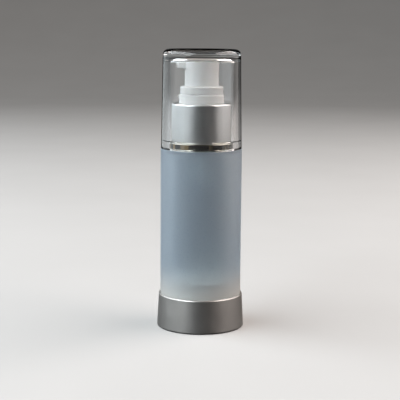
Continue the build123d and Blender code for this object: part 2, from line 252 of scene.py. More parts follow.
def even_angles(count):
    """Angles evenly spread over one turn."""
    return np.arange(count) * (2 * math.pi / count)


# %% A section carried round the axis
def lathe(name, corners, closed=True, columns=192, steps=6):
    """A piece that is the same all the way round: its section, carried once round the axis."""
    outline = section(corners, closed, steps)
    return turned(name, outline[:, :1], outline[:, 1:], even_angles(columns), closed)


# %% A new piece takes a node's place, or a node keeps its shape
def stands_for(piece, node, body, material):
    """Hides the model's own node, and lets the new piece take its place on its body."""
    piece.data.materials.append(material)
    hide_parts(node)
    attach(piece, body)


def keeps_shape(node, material):
    """Gives a node of the model, which is already the real shape, its material."""
    slots = frame["nodes"][node].data.materials
    slots.clear()
    slots.append(material)


# %% [markdown]
# ## Writing materials as sums
#
# A procedural material is a sum: a base value, plus a bit of noise, times a mask. Wired by hand, each
# plus and times is a node. The small class below wraps a socket, and its operators add those Math
# nodes, so that the material can be read as the sum it is. One method makes every other node.


# %% A socket that can be calculated with
def connect(term, socket):
    """Links a Value to a socket, or sets the socket to a plain number or colour."""
    if isinstance(term, Value):
        socket.id_data.links.new(term.socket, socket)
    else:
        socket.default_value = term


class Value:
    """An output socket. Arithmetic on it adds Math nodes to its material."""

    def __init__(self, socket):
        self.socket = socket

    def _math(self, operation, left, right):
        node = self.socket.id_data.nodes.new("ShaderNodeMath")
        node.operation = operation
        connect(left, node.inputs[0])
        connect(right, node.inputs[1])
        return Value(node.outputs[0])

    def __add__(self, other):
        return self._math("ADD", self, other)

    def __radd__(self, other):
        return self._math("ADD", other, self)

    def __sub__(self, other):
        return self._math("SUBTRACT", self, other)

    def __rsub__(self, other):
        return self._math("SUBTRACT", other, self)

    def __mul__(self, other):
        return self._math("MULTIPLY", self, other)

    def __rmul__(self, other):
        return self._math("MULTIPLY", other, self)

    def __pow__(self, other):
        return self._math("POWER", self, other)


# %% A material in the making
class Finish:
    """A shader, Principled unless kind says otherwise, with its constants and what feeds it."""

    def __init__(self, name, constants, kind="ShaderNodeBsdfPrincipled"):
        self.material = bpy.data.materials.new(name)
        self.material.use_nodes = True
        self.nodes = self.material.node_tree.nodes
        self.nodes.clear()
        self.shader = self.node(kind, inputs=constants)
        self.surface = self.nodes.new("ShaderNodeOutputMaterial").inputs["Surface"]
        connect(self.shader, self.surface)
        self.place = self.node("ShaderNodeTexCoord", output="Object")
        self.x, self.y, self.z = (
            self.node("ShaderNodeSeparateXYZ", inputs={0: self.place}, output=k) for k in range(3)
        )
        self.from_axis = (self.x * self.x + self.y * self.y) ** 0.5

    def node(self, kind, settings=None, inputs=None, output=0):
        """Adds a node: its settings first, then the values or links of its sockets."""
        node = self.nodes.new(kind)
        for name, value in (settings or {}).items():
            setattr(node, name, value)
        for socket, value in (inputs or {}).items():
            connect(value, node.inputs[socket])
        return Value(node.outputs[output])

    def noise(self, size, detail=2.0, stretch=(1, 1, 1), roughness=0.5):
        """Cloudy noise between 0 and 1 whose blobs are about size metres across. A stretch above 1
        makes them longer along that axis."""
        scale = [1 / (size * s) for s in stretch]
        place = self.node(
            "ShaderNodeVectorMath", {"operation": "MULTIPLY"}, {0: self.place, 1: scale}
        )
        sockets = {"Vector": place, "Scale": 1.0, "Detail": detail, "Roughness": roughness}
        return self.node("ShaderNodeTexNoise", inputs=sockets)

    def rise(self, value, low, high):
        """0 where value is under low, 1 where it is over high, and smooth in between."""
        sockets = {"Value": value, "From Min": low, "From Max": high}
        return self.node("ShaderNodeMapRange", {"interpolation_type": "SMOOTHSTEP"}, sockets)

    def colour(self, share, one, other):
        """A colour that goes from one to other as share goes from 0 to 1."""
        ends = {0: share, 6: one, 7: other}
        return self.node("ShaderNodeMix", {"data_type": "RGBA"}, ends, output=2)

    def scratches(self, angle, length=0.006, width=0.00005, amount=0.74):
        """Fine straight marks: noise that is stretched along one direction, of which only the peaks
        are kept. angle turns the marks about the bottle's axis and tips them."""
        turned_place = self.node(
            "ShaderNodeVectorRotate",
            {"rotation_type": "EULER_XYZ"},
            {"Vector": self.place, "Rotation": (angle, angle * 1.7, angle * 2.3)},
        )
        scaled = self.node(
            "ShaderNodeVectorMath",
            {"operation": "MULTIPLY"},
            {0: turned_place, 1: (1 / length, 1 / width, 1 / width)},
        )
        sockets = {"Vector": scaled, "Scale": 1.0, "Detail": 0.0}
        return self.rise(self.node("ShaderNodeTexNoise", inputs=sockets), amount, amount + 0.05)

    def set(self, socket, value):
        """Feeds one socket of the shader."""
        connect(value, self.shader.socket.node.inputs[socket])

    def lay_over(self, other, share):
        """Covers the shader with another one, as much as share says."""
        layers = {0: share, 1: self.shader, 2: other}
        connect(self.node("ShaderNodeMixShader", inputs=layers), self.surface)

    def bump(self, height, depth):
        """Raises the surface by height times depth, in metres, for the light only."""
        sockets = {"Height": height, "Distance": depth, "Strength": 1.0}
        self.set("Normal", self.node("ShaderNodeBump", inputs=sockets))


def grey(level, warmth=0.0):
    """A grey with a touch of warmth (positive) or coolness (negative)."""
    return (level * (1 + warmth), level, level * (1 - warmth), 1.0)


# %% [markdown]
# ## Satin aluminium
#
# The sleeve and the base are thin drawn aluminium that was blasted with fine beads and then anodised.
# Blasting leaves a dense, even grain that spreads each reflection into a soft band. It isn't brushed,
# so an anisotropic shader would be wrong here. The grain is bump, the spread is roughness, and on
# top come slow cloudy changes, the faint long marks of drawing, and a few scratches that shine.


# %% Satin aluminium
def satin_aluminium(name, dark, light, spread, rim_height, rim_depth):
    """Blasted and anodised aluminium between two greys, dark and light. Its roughness is spread, and
    clouds and grain add to it. Within rim_depth of rim_height (metres) it is rubbed a bit smoother."""
    metal = Finish(name, {"Metallic": 1.0})
    grain = metal.noise(0.00022, detail=3.0)
    clouds = metal.noise(0.006, detail=3.0)
    drawing = metal.noise(0.0004, detail=2.0, stretch=(1, 1, 30))
    marks = metal.scratches(0.7) + metal.scratches(2.1, amount=0.77)
    from_rim = metal.node("ShaderNodeMath", {"operation": "ABSOLUTE"}, {0: metal.z - rim_height})
    rubbed = 1 - metal.rise(from_rim, 0.0, rim_depth)
    shade = 0.45 * grain + 0.35 * clouds + 0.2 * drawing
    metal.set("Base Color", metal.colour(shade, dark, light))
    metal.set("Roughness", spread + 0.08 * clouds + 0.06 * grain - 0.03 * rubbed - 0.08 * marks)
    metal.bump(grain + 0.25 * drawing - 0.5 * marks, 0.000009)
    return metal.material


collar_metal = satin_aluminium(
    "satin_aluminium_collar", grey(0.84, 0.0), grey(0.94, 0.0), 0.27, top("collar_shell") * MM, 0.0008
)
base_metal = satin_aluminium(
    "satin_aluminium_base", grey(0.48, 0.034), grey(0.62, 0.026), 0.34, top("base_shell") * MM, 0.0010
)
print("two satin finishes, one rubbed at the sleeve's rim and one at the base's lip")

# %% [markdown]
# ## Bright ring
#
# The ring between the sleeve and the tube is turned and polished, so it mirrors the room in narrow
# upright stripes. A mirror with one even roughness looks like plastic foil. What makes it metal are
# the hair-fine turning lines that run round it, a few wipe marks, and a film that dulls it in patches.


# %% Bright ring
def bright_ring():
    """Polished metal, warm and a little dark, its warm tint partly the metal's own and partly a painted
    reflection of the olive room round it: it is rougher where it is filmed, and in wipe marks.
    """
    metal = Finish("polished_ring", {"Metallic": 1.0})
    turning = metal.noise(0.00007, detail=2.0, stretch=(400, 400, 1))
    film = metal.noise(0.003, detail=3.0, stretch=(1, 1, 2))
    marks = metal.scratches(1.3, length=0.003)
    # painted reflection: the ring's warm olive colour partly stands for the olive room that it mirrors
    metal.set("Base Color", metal.colour(film, (0.56, 0.53, 0.45, 1), (0.68, 0.65, 0.58, 1)))
    metal.set("Roughness", 0.015 + 0.03 * film + 0.02 * turning + 0.12 * marks)
    metal.bump(turning - 0.4 * marks, 0.0000006)
    return metal.material


ring_metal = bright_ring()
print("the ring's finish has", len(ring_metal.node_tree.nodes), "nodes")

# %% [markdown]
# ## Frosted plastic
#
# The tube is clear plastic whose outside was etched, so light goes in, loses its direction and comes
# out softly: what touches the wall inside shows as a pale shape, and what stands further back is lost.
# Mixing a see-through and a white shader would give fog, not frost. Rough transmission through a wall
# of real thickness does the real thing, and the roughness is high only on the etched outside. The
# etched skin also throws part of the light straight back, so a thin matt haze is laid over it. The
# haze's colour is painted light and shade: the smoky blue above is a painted shade of the hollow tube,
# and towards the foot the haze gets paler and denser, a painted glow of the white follower behind the
# wall.


# %% Frosted plastic
def frosted_plastic():
    """Tinted clear plastic, rough on its etched outside, under a matt haze that takes a share of the
    light. The haze is densest below the height dense_below and thinnest over thin_above, in metres.
    Its colour is painted: dark smoky blue above as a painted shade of the hollow tube, and pale at the
    foot as a painted glow of the white follower behind the wall."""
    dense_below, thin_above = 0.013, 0.029
    frost = Finish("frosted_plastic", {"Transmission Weight": 1.0, "IOR": 1.5})
    grain = frost.noise(0.00030, detail=3.0)
    clouds = frost.noise(0.009, detail=3.0)
    speckle = frost.rise(frost.noise(0.0007, detail=1.0), 0.56, 0.70)
    rubs = frost.scratches(0.4, length=0.004, amount=0.76)
    outside = frost.rise(frost.from_axis, (tube_radius - 0.9) * MM, (tube_radius - 0.5) * MM)
    tint = 0.7 * clouds + 0.3 * grain
    frost.set("Base Color", frost.colour(tint, (0.68, 0.77, 0.80, 1), (0.74, 0.82, 0.85, 1)))
    moulded = 0.12
    etched = 0.66 + 0.08 * clouds + 0.06 * grain - 0.12 * rubs
    frost.set("Roughness", moulded + outside * (etched - moulded))
    frost.bump(grain + 0.5 * speckle - 0.3 * rubs, 0.000012)
    # painted light: the haze gets paler and denser towards the foot, a painted glow of the white
    # follower behind the wall
    painted_follower_glow = 1 - frost.rise(frost.z, dense_below, thin_above)
    # painted shade: the dark smoky haze above is a painted shade of the hollow tube
    painted_hollow_shade = frost.colour(tint, (0.34, 0.42, 0.53, 1), (0.41, 0.48, 0.58, 1))
    haze_colour = frost.colour(painted_follower_glow, painted_hollow_shade, (0.72, 0.70, 0.67, 1))
    sockets = {"Base Color": haze_colour, "Roughness": 0.55, "IOR": 1.5}
    haze = frost.node("ShaderNodeBsdfPrincipled", inputs=sockets)
    density = 0.23 + 0.16 * painted_follower_glow + 0.14 * grain + 0.07 * speckle - 0.10 * rubs
    frost.lay_over(haze, outside * density)
    return frost.material


frost_material = frosted_plastic()
print("the frost's finish has", len(frost_material.node_tree.nodes), "nodes")

# %% [markdown]
# ## Clear plastic
#
# The cap is one thick, glass-clear moulding. All that one sees of it is how it bends what is behind
# it, so its looks come from its shape: both walls are modelled and the shader only adds the plastic's
# refraction. Real clear plastic is a little wavy from the mould, and handling leaves a thin film with
# hairline wipe marks on it. The film only changes what the surface mirrors, so it is a coat: one could
# roughen the plastic itself, but then the cap would blur what stands behind it.


# %% Clear plastic
def clear_plastic():
    """Perfectly smooth clear plastic with a coat in patches, which is the film, and in hairlines."""
    constants = {"Transmission Weight": 1.0, "IOR": 1.53, "Roughness": 0.0}
    constants.update({"Coat Roughness": 0.18, "Coat IOR": 1.4})
    clear = Finish("clear_plastic", constants)
    wave = clear.noise(0.009, detail=0.0, stretch=(1, 1, 3))
    film = clear.noise(0.004, detail=3.0)
    marks = clear.scratches(0.9, length=0.005, amount=0.75) + clear.scratches(2.7, amount=0.77)
    tint = clear.colour(film, (0.965, 0.98, 0.99, 1), (0.99, 0.995, 1.0, 1))
    clear.set("Base Color", tint)
    clear.set("Coat Weight", 0.35 * clear.rise(film, 0.45, 0.80) + 0.5 * marks)
    clear.bump(wave + 0.02 * marks, 0.000008)
    return clear.material


cap_material = clear_plastic()
print("the clear finish has", len(cap_material.node_tree.nodes), "nodes")

# %% [markdown]
# ## White, natural and soft plastics
#
# The pump is made of three plastics. Its seen parts are white polypropylene with a fine moulded
# texture. The engine's housing is natural, which is milky. The lips that wipe a wall are soft
# polyethylene, which is waxy. A little subsurface scattering keeps all three from looking painted.
# The follower is of the soft kind too, but it is only seen through the frost, which blurs far more
# than scattering would, so its finish leaves that out, and it is made a little darker, a painted shade
# that dims it behind the frost. The gasket is a thin liner of white foam.


# %% Moulded plastics
def moulded_plastic(name, light, dark, roughness, depth, scatter, texture=0.00020):
    """Moulded plastic between two colours, with scatter as its share of subsurface light. texture is
    the mould's grain in metres, and depth is how high that grain stands."""
    constants = {"Subsurface Weight": scatter, "Subsurface Scale": 0.0008, "IOR": 1.49}
    constants["Subsurface Radius"] = (1.0, 0.85, 0.7)
    plastic = Finish(name, constants)
    grain = plastic.noise(texture, detail=2.0)
    flow = plastic.noise(0.005, detail=3.0, stretch=(1, 1, 2))
    marks = plastic.scratches(1.9, length=0.003, amount=0.76)
    plastic.set("Base Color", plastic.colour(0.7 * flow + 0.3 * grain - 0.2 * marks, dark, light))
    plastic.set("Roughness", roughness + 0.10 * flow + 0.06 * grain - 0.08 * marks)
    plastic.bump(grain + 0.3 * flow - 0.6 * marks, depth)
    return plastic.material


white_plastic = moulded_plastic(
    "white_plastic", (0.90, 0.895, 0.88, 1), (0.83, 0.825, 0.81, 1), 0.28, 0.000004, 0.10
)
natural_plastic = moulded_plastic(
    "natural_plastic", (0.80, 0.82, 0.82, 1), (0.70, 0.73, 0.74, 1), 0.36, 0.000005, 0.25
)
soft_plastic = moulded_plastic(
    "soft_polyethylene", (0.88, 0.875, 0.85, 1), (0.80, 0.795, 0.77, 1), 0.42, 0.000005, 0.20
)
# painted shade: the follower's plastic is a darker copy of the soft polyethylene, to dim it behind the
# frost
shaded_follower_plastic = moulded_plastic(
    "soft_polyethylene_follower_shaded", (0.84, 0.82, 0.79, 1), (0.78, 0.76, 0.73, 1), 0.42, 0.000005, 0.0
)
liner_foam = moulded_plastic(
    "foam_liner", (0.84, 0.82, 0.77, 1), (0.70, 0.68, 0.63, 1), 0.75, 0.00003, 0.05, 0.00035
)
print("five moulded finishes, from", white_plastic.name, "to", liner_foam.name)

# %% [markdown]
# ## Stainless steel
#
# The spring is drawn wire and the valve's ball is ground. Both are bright, but not mirrors: drawing and
# grinding leave fine lines, and small dull spots break the shine. One finish serves both, because the
# lines are so fine that only their glitter is seen.


# %% Stainless steel
def stainless_steel():
    """Fairly bright steel: fine noise lines and larger spots both add to the roughness."""
    steel = Finish("stainless_steel", {"Metallic": 1.0})
    lines = steel.noise(0.00005, detail=2.0, stretch=(8, 8, 1))
    spots = steel.noise(0.0008, detail=3.0)
    steel.set("Base Color", steel.colour(spots, grey(0.48, 0.01), grey(0.66, 0.005)))
    steel.set("Roughness", 0.16 + 0.12 * lines + 0.12 * spots)
    steel.bump(lines, 0.000001)
    return steel.material


steel_material = stainless_steel()
print("the steel's finish has", len(steel_material.node_tree.nodes), "nodes")

# %% [markdown]
# ## The base
#
# The base is a drawn cup: a flat foot, a wall that leans in, and a lip rolled in against the tube. The
# roll is what catches the light, as a thin bright line. One large rounding would make that line thick
# and soft, so the lip turns in two small steps, and each of them has a small rounding of its own. The
# moulded floor inside the cup is only seen from below, and the model's own shape will do for it.

# %% The base cup
foot_radius, foot_window, sheet = 17.86, 14.2, 0.5
wall_top_radius, lip_inner, lip_top = 17.15, tube_radius + gap, top("base_shell")
lip_depth, roll_depth, roll_inset, lip_slope = 0.9, 0.45, 0.15, 0.08
base_cup = lathe(
    "base_cup",
    [
        (foot_window, sheet, 0.12),
        (foot_window, 0, 0.12),
        (foot_radius, 0, 0.6),
        (wall_top_radius, lip_top - roll_depth, 0.25),
        (wall_top_radius - roll_inset, lip_top - lip_slope, 0.20),
        (lip_inner, lip_top, 0.10),
        (lip_inner, lip_top - lip_depth - sheet, 0.08),
        (reach("base_shell") - sheet, sheet, 0.3),
    ],
    columns=224,
)
stands_for(base_cup, "base_shell", "bottle", base_metal)
keeps_shape("base_plug", white_plastic)

# %% [markdown]
# ## The frosted tube and its thread
#
# The tube, its shoulder and its threaded neck are one moulding. The neck is hidden under the sleeve
# until the pump is unscrewed, and then the thread has to be a real one. A thread could be swept along a
# helix and joined on, but it is only a ridge whose height above the neck depends on how far a point is
# from the helix. So it is added to the radius of the grid, and the surface stays one closed skin.


# %% A screw thread as a change of radius
def smooth_step(x):
    """0 below 0, 1 above 1, and an S-shaped rise in between: 3 x squared less 2 x cubed."""
    x = np.clip(x, 0, 1)
    return x * x * (3 - 2 * x)


def thread_ridge(angles, height, start, root_width=1.7, crest_width=0.8):
    """How far a thread stands out, in metres, at each height (metres) and angle. The helix is at the
    height start + pitch * turns. The ridge is a trapezium across: full over crest_width, and gone
    beyond root_width. It fades over a tenth of a turn at both ends."""
    share = angles / (2 * math.pi)
    turns = np.round((height / MM - start) / thread_pitch - share) + share
    away = np.abs(height / MM - start - thread_pitch * turns)
    slope = np.clip((root_width / 2 - away) / ((root_width - crest_width) / 2), 0, 1)
    ends = smooth_step(turns / 0.1) * smooth_step((thread_turns - turns) / 0.1)
    return thread_height * MM * slope * ends


# %% The tube
neck_top = top("bottle")
ceiling = shoulder - 1.6
tube_outline = section(
    [
        (tube_bore, bottom("bottle"), 0.3),
        (tube_radius, bottom("bottle"), 0.3),
        (tube_radius, shoulder, 0.30),
        (neck_radius, shoulder, 0.30),
        (neck_radius, neck_top, 0.25),
        (neck_bore, neck_top, 0.25),
        (neck_bore, ceiling, 0.3),
        (tube_bore, ceiling, 0.8),
    ],
    steps=8,
)
thread_low = neck_thread_start - thread_pitch / 2
thread_high = neck_thread_start + thread_pitch * (thread_turns + 0.5)
tube_outline = refine(tube_outline, 0.12, thread_low, thread_high)
turn = even_angles(216)
wall_radius, wall_height = tube_outline[:, :1], tube_outline[:, 1:]
on_neck = wall_radius > (neck_radius - 0.05) * MM
ridge = np.where(on_neck, thread_ridge(turn, wall_height, neck_thread_start), 0)
tube = turned("frosted_tube", wall_radius + ridge, wall_height, turn)
stands_for(tube, "bottle", "bottle", frost_material)

# %% [markdown]
# ## The follower piston
#
# At the bottom of the tube sits a white piston that rises as the bottle empties. It touches the frosted
# wall and shows through it as a pale zone above the base, and the frost's haze also has a painted glow
# there, which stays at the foot when the piston rises. It is a cup within a cup with a lip at each end,
# and nearly all of one thickness, as a soft moulding is.

# %% The follower piston
follower_low, follower_high = bottom("follower_piston"), top("follower_piston")
wiper, waist = reach("follower_piston"), reach("follower_piston") - 0.45
well, web, floor_thickness, lip_height = 6.6, 1.1, 1.2, 1.6
follower = lathe(
    "follower_cup",
    [
        (0, follower_low, 0),
        (well + web, follower_low, 0.25),
        (well + web, follower_high - web, 0.4),
        (waist - web, follower_high - web, 0.4),
        (waist - web, follower_low, 0.2),
        (wiper, follower_low, 0.15),
        (wiper, follower_low + lip_height / 2, 0.1),
        (waist, follower_low + lip_height, 0.3),
        (waist, follower_high - lip_height, 0.3),
        (wiper, follower_high - lip_height / 2, 0.1),
        (wiper, follower_high, 0.15),
        (well, follower_high, 0.5),
        (well, follower_low + floor_thickness, 0.5),
        (0, follower_low + floor_thickness, 0),
    ],
    closed=False,
    columns=144,
)
stands_for(follower, "follower_piston", "follower", shaded_follower_plastic)

# %% [markdown]
# ## The closure with its hub and lug
#
# Under the metal sleeve is a white screw cap. What shows of it is the hub that stands out of the
# sleeve, with a small wedge on it that marks where the spout parks. Both the inner thread and the wedge
# are changes of radius, as on the tube, so the closure is one grid with closer columns at the wedge.


# %% Closer columns where they are needed, and the wedge
def close_angles(centre, half_width, fine, coarse):
    """Angles over one turn: fine of them within half_width of centre, and coarse over the rest."""
    near = np.linspace(-half_width, half_width, fine, endpoint=False)
    far = np.linspace(half_width, 2 * math.pi - half_width, coarse, endpoint=False)
    return np.concatenate([near, far]) + centre


def lug(angles, height, radius, low, high, half_width, proud):
    """A wedge that leans out from low, is proud by the full height under high, and ends in steep sides
    half_width either side of -X. All lengths are in millimetres, and the result is in metres."""
    lean, side_slope, top_slope = 0.75, 0.18, 0.16
    aside = np.abs(angles - math.pi) * radius
    across = smooth_step((half_width - aside) / side_slope + 0.5)
    rising, falling = (height / MM - low) / lean, (high - height / MM) / top_slope + 0.5
    return proud * MM * across * smooth_step(rising) * smooth_step(falling)


# %% The closure
hub_radius, hub_bore, hub_bevel, hub_bevel_height = 9.04, 8.0, 0.30, 0.75
skirt, spigot, bore, seat = collar_radius - 0.5, 10.95, 10.1, 9.7
seat_top, seat_low = 88.1, neck_top + gap
sleeve_low, sleeve_top = bottom("collar_shell"), top("collar_shell")
hub_low, hub_top = sleeve_top - 0.5, top("closure")
lug_low, lug_high = 93.6, 94.95
closure_outline = section(
    [
        (bore, bottom("closure"), 0.2),
        (spigot, bottom("closure"), 0.2),
        (spigot, sleeve_low, 0.1),
        (skirt, sleeve_low, 0.1),
        (skirt, hub_low, 0.4),
        (hub_radius, hub_low, 0.1),
        (hub_radius, hub_top - hub_bevel_height, 0.3),
        (hub_radius - hub_bevel, hub_top, 0.12),
        (hub_bore, hub_top, 0.12),
        (hub_bore, seat_top, 0.1),
        (seat, seat_top, 0.1),
        (seat, seat_low, 0.1),
        (bore, seat_low, 0.1),
    ]
)
closure_drop = thread_pitch / 2
closure_outline = refine(closure_outline, 0.14, thread_low - closure_drop, thread_high - closure_drop)
closure_outline = refine(closure_outline, 0.07, lug_low - 0.2, lug_high + 0.35)
turn = close_angles(math.pi, half_width=0.16, fine=56, coarse=170)
wall_radius, wall_height = closure_outline[:, :1], closure_outline[:, 1:]
in_bore = (wall_radius < (bore + 0.05) * MM) & (wall_height < seat_low * MM)
on_hub = wall_radius > (hub_radius - hub_bevel - 0.06) * MM
inner_ridge = thread_ridge(np.mod(turn, 2 * math.pi), wall_height, neck_thread_start - closure_drop)
wedge = lug(turn, wall_height, hub_radius, lug_low, lug_high, half_width=0.85, proud=0.75)
changed = wall_radius - np.where(in_bore, inner_ridge, 0) + np.where(on_hub, wedge, 0)
closure = turned("closure_hub", changed, wall_height, turn)
stands_for(closure, "closure", "closure", white_plastic)

# %% [markdown]
# ## The sleeve and the bright ring
#
# The sleeve is a drawn cup with a hole in its top. Its rim is drawn over a radius of 0.6 mm and shines
# as a thin bright line. The ring below it is thicker and nearly square in section, with edges broken by
# only a tenth of a millimetre, so it ends in two crisp lines.

# %% The sleeve
sleeve_wall, window = 0.45, 9.15
sleeve = lathe(
    "collar_sleeve",
    [
        (collar_radius - sleeve_wall, sleeve_low, 0.15),
        (collar_radius, sleeve_low, 0.18),
        (collar_radius, sleeve_top, 0.6),
        (window, sleeve_top, 0.15),
        (window, sleeve_top - sleeve_wall, 0.12),
        (collar_radius - sleeve_wall, sleeve_top - sleeve_wall, 0.35),
    ],
    columns=224,
    steps=10,
)
stands_for(sleeve, "collar_shell", "closure", collar_metal)

# %% The ring
ring_low, ring_top = bottom("shoulder_ring"), top("shoulder_ring")
mirror_ring = lathe(
    "mirror_ring",
    [
        (spigot + gap, ring_low, 0.1),
        (ring_radius, ring_low, 0.12),
        (ring_radius, ring_top, 0.12),
        (spigot + gap, ring_top, 0.1),
    ],
    columns=256,
)
stands_for(mirror_ring, "shoulder_ring", "closure", ring_metal)

# %% [markdown]
# ## The guide ring
#
# The upper white ring is the cap of the pump housing. The press head slides in it, and inside it has a
# well with a collar round the stem. Its top edge is well rounded, and the joint with the hub below shows
# as a thin dark line, which is a real gap here.

# %% The guide ring
guide_low, guide_high = bottom("guide_ring"), top("guide_ring")
guide_outer, joint = reach("guide_ring"), hub_top + gap
stem_hole, snap_radius, cap_radius, cap_seat = 2.6, 4.35, 7.9, top("pump_housing") + gap
well_radius, well_floor, boss_radius, boss_height = 7.1, 90.2, 3.6, 0.8
guide = lathe(
    "guide_ring_cap",
    [
        (stem_hole, guide_low, 0.1),
        (snap_radius, guide_low, 0.2),
        (snap_radius, cap_seat, 0.1),
        (cap_radius, cap_seat, 0.2),
        (cap_radius, joint, 0.1),
        (guide_outer, joint, 0.12),
        (guide_outer, guide_high, 0.7),
        (well_radius, guide_high, 0.25),
        (well_radius, well_floor, 0.3),
        (boss_radius, well_floor, 0.2),
        (boss_radius, well_floor + boss_height, 0.15),
        (stem_hole, well_floor + boss_height, 0.15),
    ],
    steps=8,
)
stands_for(guide, "guide_ring", "closure", white_plastic)

# %% [markdown]
# ## The press head
#
# The head is a round button that grows a flat spout. Two solids joined by a Boolean would leave a hard
# seam, and a real moulding has a small fillet there. Seen from above, the head's outline is a circle
# joined to a tapered bar, and every ray from the axis meets it once. So the outline is found ray by
# ray: a distance function describes circle and bar, a rounded union joins them, and halving an
# interval forty times finds where each ray leaves the shape. Asking for a distance of -d instead of 0
# gives the same outline moved inwards by d, which is what the rounded top edge is made of.


# %% The head's outline, ray by ray
spout_tip = -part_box("actuator")[0].x / MM
tip_half_width, root_half_width, root_at = 2.4, 3.2, head_radius - 0.8
corner, fillet, bar_end = 1.1, 0.45, -1.0


def outline_distance(x, y):
    """Distance from the head's outline seen from above, in millimetres: negative inside. The bar is
    where a plane across its tip and one along its side meet, in a rounded corner, and it ends inside
    the circle. A fillet joins circle and bar."""
    circle = np.hypot(x, y) - head_radius
    taper = (root_half_width - tip_half_width) / (spout_tip - root_at)
    lean = math.hypot(1, taper)
    side = (np.abs(y) - tip_half_width - (x + spout_tip) * taper) / lean
    tip = -(x + spout_tip)
    bar = np.minimum(np.maximum(tip, side) + corner, 0) - corner
    bar = bar + np.hypot(np.maximum(tip + corner, 0), np.maximum(side + corner, 0))
    bar = np.maximum(bar, x - bar_end)
    union = np.maximum(np.minimum(circle, bar), fillet)
    return union - np.hypot(np.maximum(fillet - circle, 0), np.maximum(fillet - bar, 0))


def outline_radius(angles, inset):
    """How far along each ray the distance function reaches -inset, by halving an interval."""
    low = np.full(np.broadcast_shapes(angles.shape, np.shape(inset)), head_radius / 2)
    high = np.full_like(low, 2 * spout_tip)
    for _ in range(40):
        middle = (low + high) / 2
        inside = outline_distance(middle * np.cos(angles), middle * np.sin(angles)) < -inset
        low, high = np.where(inside, middle, low), np.where(inside, high, middle)
    return (low + high) / 2


head_turn = close_angles(math.pi, half_width=0.56, fine=190, coarse=150)
full_outline = outline_radius(head_turn, 0.0)
print("the outline goes from", round(full_outline.min(), 3), "to", round(full_outline.max(), 3), "mm")

# %% [markdown]
# The head's side is read from bottom to top. Up to the spout each row is the circle. Then the rows move
# out to the full outline along the spout's underside, by a share that is the same for all rays: where
# the outline is the circle, that share has nothing to move, and the wall just goes straight up. Last
# comes the rounded edge, and rows that shrink to the middle of the finger dish.

# %% The spout's underside and the inside of the head
head_low, head_high = bottom("actuator"), top("actuator")
under_root, under_tip = 105.45, 105.85
spout_length = spout_tip - head_radius
underside = section(
    [
        (0, head_low, 0),
        (0, under_root, 0.35),
        (spout_length, under_tip, 0.55),
        (spout_length, head_high, 0),
    ],
    closed=False,
)[1:-1] / MM
riser_radius, riser_top = 1.4, 106.9
socket_radius, socket_top = 2.55, 103.6
boss_radius, boss_low = 3.5, 99.0
skirt_bore, skirt_ceiling = 5.9, 108.0
inner = section(
    [
        (0, riser_top, 0),
        (riser_radius, riser_top, 0.3),
        (riser_radius, socket_top, 0.1),
        (socket_radius, socket_top, 0.1),
        (socket_radius, boss_low, 0.15),
        (boss_radius, boss_low, 0.15),
        (boss_radius, skirt_ceiling, 0.4),
        (skirt_bore, skirt_ceiling, 0.5),
        (skirt_bore, head_low, 0.2),
        (head_radius, head_low, 0.25),
        (head_radius, under_root, 0),
    ],
    closed=False,
)[:-1] / MM
print("the spout stands out by", round(spout_length, 2), "mm")

# %% The rounded edge and the finger dish
edge, dish_radius, dish_depth = 0.45, 5.4, 0.3
roll = np.linspace(0, math.pi / 2, 9)[:, None]
edge_radius = outline_radius(head_turn[None], edge * (1 - np.cos(roll)))
edge_height = head_high - edge + edge * np.sin(roll)
shrink = np.linspace(1, 0, 26)[1:, None]
top_radius = edge_radius[-1:] * shrink
dish = dish_depth * np.clip(1 - (top_radius / dish_radius) ** 2, 0, 1)
print("the dish is", round(dish.max(), 2), "mm deep")

# %% The press head
side_low = 107.9
side_height = np.linspace(side_low, head_high - edge, 6)[:-1, None]
moved_out = underside[:, :1] / spout_length
rows_radius = [
    inner[:, :1],
    head_radius + (full_outline - head_radius) * moved_out,
    np.broadcast_to(full_outline, (len(side_height), len(head_turn))),
    edge_radius,
    top_radius,
]
rows_height = [inner[:, 1:], underside[:, 1:], side_height, edge_height, head_high - dish]
rows_radius, rows_height = (
    np.concatenate([np.broadcast_to(row, (len(row), len(head_turn))) for row in rows]) * MM
    for rows in (rows_radius, rows_height)
)
head = turned("press_head", rows_radius, rows_height, head_turn, closed=False)

# %% [markdown]
# The product leaves through a round channel in the spout. A hole is the one thing that a grid of rays
# can't have, so here a Boolean is the right tool: a rod that widens towards the tip is cut out of the
# head, as far in as the riser. The result is applied at once, so no modifier is left to recompute.

# %% The outlet channel
channel_height, channel_radius = 107.4, 0.9
depth = np.array([-0.4, 0.0, 0.12, 0.22, 0.3, 0.6, 9.2])[:, None]
widening = np.array([0.42, 0.30, 0.16, 0.06, 0.0, 0.0, 0.0])[:, None]
rod_angles = even_angles(48)
rod_y = (channel_radius + widening) * np.cos(rod_angles)
rod_z = (channel_radius + widening) * np.sin(rod_angles) + channel_height
rod_x = np.broadcast_to(depth - spout_tip, rod_y.shape)
rod = capped_tube("channel_rod", np.stack([rod_x, rod_y, rod_z], -1) * MM)
cut = head.modifiers.new("outlet", "BOOLEAN")
cut.operation, cut.solver, cut.object = "DIFFERENCE", "EXACT", rod
evaluated = head.evaluated_get(bpy.context.evaluated_depsgraph_get())
carved = bpy.data.meshes.new_from_object(evaluated)
head.modifiers.clear()
head.data = carved
head.data.shade_smooth()
bpy.data.objects.remove(rod)
print("the carved head:", len(carved.polygons), "faces,", round(enclosed_volume(carved)), "cubic mm")
stands_for(head, "actuator", "head", white_plastic)

# %% [markdown]
# ## The clear cap
#
# The cap stands on the tube's shoulder and grips the bright ring. Its wall is 3 mm thick and it leans
# in slightly, so that it leaves its mould, and a low step inside ends the land that grips. The thick
# corner at the top acts as a lens, so its inner and outer roundings matter more than anything else in
# how it looks.

